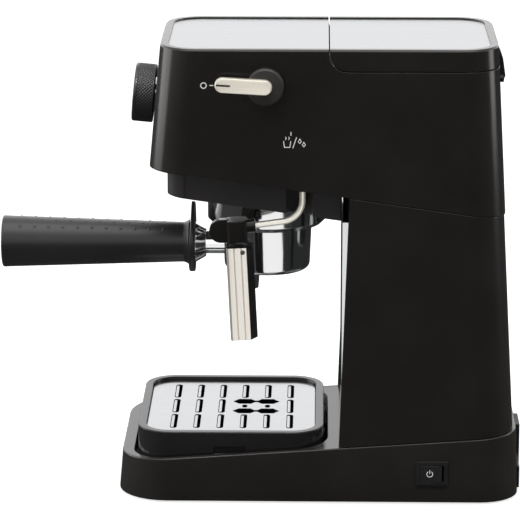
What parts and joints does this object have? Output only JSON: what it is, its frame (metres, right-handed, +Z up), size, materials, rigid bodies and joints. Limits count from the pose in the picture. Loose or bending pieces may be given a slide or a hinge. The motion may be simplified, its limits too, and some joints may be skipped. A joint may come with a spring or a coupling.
{
  "type": "espresso machine",
  "caption": "Slim pump espresso machine: raked black head over a steel-faced column, lever-handled portafilter, swinging steam wand with froth sleeve, lift-out drip tray and rear water tank.",
  "frame": {"origin": "on the table at the centre of the base footprint", "axes": "+Z up; -X is the front, where the handle points; the steam wand is on the -Y side"},
  "size_m": [0.3607, 0.1542, 0.3115],
  "materials": {
    "black_shell": "fine satin texture",
    "dark_plastic": "satin",
    "pod_plastic": "fine satin texture",
    "rubber": "matt",
    "gasket_rubber": "matt",
    "zinc": "zinc plated",
    "switch_plastic": "gloss",
    "circuit_board": "solder mask",
    "polished_steel": "polished",
    "brushed_plate": "brushed",
    "cast_metal": "cast",
    "chrome": "mirror",
    "basket_steel": "satin",
    "ceramic": "satin",
    "brass": "machined",
    "dial_plastic": "satin",
    "lever_metal": "pale satin",
    "knob_plastic": "knurled",
    "lens_white": "gloss",
    "tank_plastic": "smoky clear plastic",
    "hinge_plastic": "satin",
    "white_plastic": "satin",
    "coil_steel": "zinc plated",
    "hose_silicone": "translucent silicone",
    "pipe_steel": "satin",
    "wand_plastic": "satin",
    "sleeve_steel": "satin",
    "spout_plastic": "gloss",
    "handle_plastic": "satin with raised pips",
    "tray_gloss": "high gloss",
    "grid_steel": "polished"
  },
  "bodies": {
    "casing": {"base_shell": "black_shell", "base_plate": "dark_plastic", "rubber_feet": "rubber", "base_screws": "zinc", "switch_frame": "switch_plastic", "cord_gland": "dark_plastic", "control_board": "circuit_board", "column_shell": "black_shell", "column_front_panel": "polished_steel", "head_shell": "black_shell", "head_top_plate": "brushed_plate", "head_floor": "dark_plastic", "group_pod": "pod_plastic", "group_head": "cast_metal", "group_collar": "chrome", "group_gasket": "gasket_rubber", "shower_screen": "basket_steel", "screen_screw": "zinc", "group_bolts": "zinc", "thermoblock": "cast_metal", "thermostat": "ceramic", "steam_valve_body": "brass", "selector_switch": "dark_plastic", "ready_lens": "lens_white", "tank_seat": "dark_plastic", "tank_seal": "gasket_rubber", "pump_bracket": "cast_metal", "pump_coil": "coil_steel", "pump_core": "white_plastic", "pump_mounts": "rubber", "suction_hose": "hose_silicone", "pressure_hose": "hose_silicone", "steam_tube": "basket_steel", "wand_bush": "dark_plastic"},
    "rocker": {"power_rocker": "switch_plastic"},
    "lever": {"steam_valve_stem": "zinc", "steam_dial": "dial_plastic", "steam_lever": "lever_metal"},
    "knob": {"knob_shaft": "zinc", "selector_knob": "knob_plastic"},
    "tank": {"water_tank": "tank_plastic", "hinge_block": "hinge_plastic", "hinge_pin": "zinc", "tank_valve": "white_plastic"},
    "lid": {"lid_shell": "black_shell", "lid_top_plate": "brushed_plate"},
    "portafilter": {"portafilter_bowl": "chrome", "portafilter_spout": "spout_plastic", "filter_basket": "basket_steel", "handle_ferrule": "chrome", "handle_stud": "zinc", "portafilter_handle": "handle_plastic"},
    "wand": {"steam_pipe": "pipe_steel", "wand_joint": "wand_plastic", "wand_nozzle": "basket_steel"},
    "froth_sleeve": {"sleeve_shell": "sleeve_steel", "sleeve_core": "wand_plastic", "sleeve_rivet": "zinc"},
    "tray": {"drip_tray": "tray_gloss"},
    "grid": {"drip_grid": "grid_steel"}
  },
  "joints": [
    {"name": "power_rock", "type": "hinge", "parent": "casing", "child": "rocker", "pos_m": [0.0762, -0.07212, 0.0215], "axis": [0, 0.0349, 0.9994], "range_deg": [0, 14]},
    {"name": "steam_turn", "type": "hinge", "parent": "casing", "child": "lever", "pos_m": [-0.0373, -0.06585, 0.2872], "axis": [0, -0.9994, 0.0349], "range_deg": [0, 118]},
    {"name": "selector_turn", "type": "hinge", "parent": "casing", "child": "knob", "pos_m": [-0.11207, 0, 0.2687], "axis": [-0.9957, 0, 0.0924], "range_deg": [-60, 60]},
    {"name": "tank_lift", "type": "slide", "parent": "casing", "child": "tank", "axis": [0, 0, 1], "range_m": [0, 0.15]},
    {"name": "lid_hinge", "type": "hinge", "parent": "tank", "child": "lid", "pos_m": [0.12223, 0, 0.2842], "axis": [0, 1, 0], "range_deg": [0, 95]},
    {"name": "portafilter_turn", "type": "hinge", "parent": "casing", "child": "portafilter", "pos_m": [-0.0372, 0, 0.185], "axis": [0, 0, 1], "range_deg": [-45, 0]},
    {"name": "wand_swing", "type": "hinge", "parent": "casing", "child": "wand", "pos_m": [-0.0125, -0.0585, 0.22], "axis": [0, 0, 1], "range_deg": [0, 80]},
    {"name": "sleeve_pull", "type": "slide", "parent": "wand", "child": "froth_sleeve", "axis": [0.0506, 0, -0.9987], "range_m": [0, 0.062]},
    {"name": "tray_lift", "type": "slide", "parent": "casing", "child": "tray", "axis": [0, 0, 1], "range_m": [0, 0.035]},
    {"name": "grid_lift", "type": "slide", "parent": "tray", "child": "grid", "axis": [0, 0, 1], "range_m": [0, 0.025]}
  ]
}
